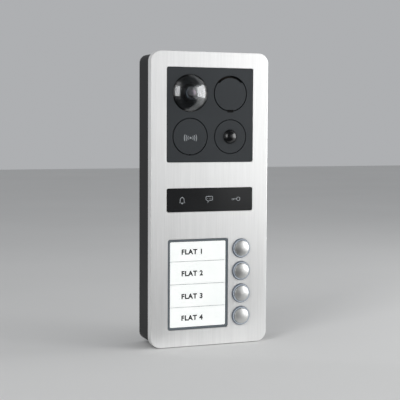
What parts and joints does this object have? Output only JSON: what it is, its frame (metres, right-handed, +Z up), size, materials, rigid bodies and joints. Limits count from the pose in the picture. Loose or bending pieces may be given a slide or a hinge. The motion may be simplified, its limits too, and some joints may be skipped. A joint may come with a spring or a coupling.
{
  "type": "door intercom panel",
  "caption": "Surface-mounted door intercom panel: brushed cover, dark module with camera dome, speaker, reader and motion sensor, indicator strip, name window and call buttons.",
  "frame": {"origin": "middle of the back face, in the wall plane", "axes": "+Z up, +X to the right of somebody facing the panel, +Y into the wall"},
  "size_m": [0.12, 0.0481, 0.282],
  "materials": {
    "cover_aluminium": "brushed and clear anodised",
    "housing_plastic": "fine-textured moulding",
    "module_plastic": "smooth matt moulding",
    "rubber": "matt",
    "steel": "zinc plated",
    "stainless": "stainless",
    "button_metal": "satin plated",
    "ring_clear": "translucent, polished",
    "dome_clear": "clear polycarbonate, polished",
    "lens_glass": "coated optical glass",
    "camera_black": "matt black",
    "lens_black": "polished",
    "window_smoked": "polished, smoked",
    "frame_plastic": "satin moulding",
    "window_clear": "clear acrylic",
    "label_card": "printed card",
    "diffuser_white": "opal moulding",
    "cone_paper": "pressed paper",
    "ferrite": "sintered ferrite",
    "board_green": "solder resist",
    "copper": "enamelled copper",
    "component_black": "moulded epoxy",
    "terminal_green": "moulded polyamide",
    "led_white": "phosphor and epoxy"
  },
  "bodies": {
    "panel": {"backlight_leds": "led_white", "board_link": "component_black", "board_screws": "steel", "button_ring_1": "ring_clear", "button_ring_2": "ring_clear", "button_ring_3": "ring_clear", "button_ring_4": "ring_clear", "button_spring_1": "stainless", "button_spring_2": "stainless", "button_spring_3": "stainless", "button_spring_4": "stainless", "button_switches": "component_black", "cable_grommet": "rubber", "camera_dome": "dome_clear", "camera_socket": "camera_black", "cover_hooks": "steel", "cover_nuts": "steel", "cover_seal": "rubber", "dome_seal": "rubber", "door_relay": "component_black", "front_cover": "cover_aluminium", "indicator_light_box": "diffuser_white", "indicator_window": "window_smoked", "inner_frame": "housing_plastic", "label_diffuser": "diffuser_white", "label_light_box": "diffuser_white", "lock_screws": "stainless", "main_board": "board_green", "microphone": "steel", "microphone_boot": "rubber", "module_board": "board_green", "module_carrier": "module_plastic", "module_gasket": "rubber", "motion_disc": "module_plastic", "motion_lens": "lens_black", "motion_sensor": "steel", "name_frame": "frame_plastic", "name_label_1": "label_card", "name_label_2": "label_card", "name_label_3": "label_card", "name_label_4": "label_card", "name_window": "window_clear", "reader_board": "board_green", "reader_coil": "copper", "reader_disc": "module_plastic", "rear_housing": "housing_plastic", "speaker_basket": "steel", "speaker_cone": "cone_paper", "speaker_disc": "module_plastic", "speaker_magnet": "ferrite", "terminal_block": "terminal_green"},
    "call_button_1": {"button_cap_1": "button_metal"},
    "call_button_2": {"button_cap_2": "button_metal"},
    "call_button_3": {"button_cap_3": "button_metal"},
    "call_button_4": {"button_cap_4": "button_metal"},
    "camera_head": {"camera_ball": "camera_black", "camera_lens": "lens_glass", "camera_lens_ring": "camera_black", "camera_sensor_board": "board_green"},
    "pan_ring": {"camera_pan_ring": "camera_black"}
  },
  "joints": [
    {"name": "call_button_1_press", "type": "slide", "parent": "panel", "child": "call_button_1", "axis": [0, 1, 0], "range_m": [0, 0.0012], "stiffness_N_per_m": 600, "springref_m": -0.0015, "deforming": ["button_spring_1"]},
    {"name": "call_button_2_press", "type": "slide", "parent": "panel", "child": "call_button_2", "axis": [0, 1, 0], "range_m": [0, 0.0012], "stiffness_N_per_m": 600, "springref_m": -0.0015, "deforming": ["button_spring_2"]},
    {"name": "call_button_3_press", "type": "slide", "parent": "panel", "child": "call_button_3", "axis": [0, 1, 0], "range_m": [0, 0.0012], "stiffness_N_per_m": 600, "springref_m": -0.0015, "deforming": ["button_spring_3"]},
    {"name": "call_button_4_press", "type": "slide", "parent": "panel", "child": "call_button_4", "axis": [0, 1, 0], "range_m": [0, 0.0012], "stiffness_N_per_m": 600, "springref_m": -0.0015, "deforming": ["button_spring_4"]},
    {"name": "camera_pan", "type": "hinge", "parent": "panel", "child": "pan_ring", "pos_m": [-0.0206, -0.035, 0.1016], "axis": [0, 0, 1], "range_deg": [-10, 10]},
    {"name": "camera_tilt", "type": "hinge", "parent": "pan_ring", "child": "camera_head", "pos_m": [-0.0206, -0.035, 0.1016], "axis": [1, 0, 0], "range_deg": [-10, 10]}
  ]
}
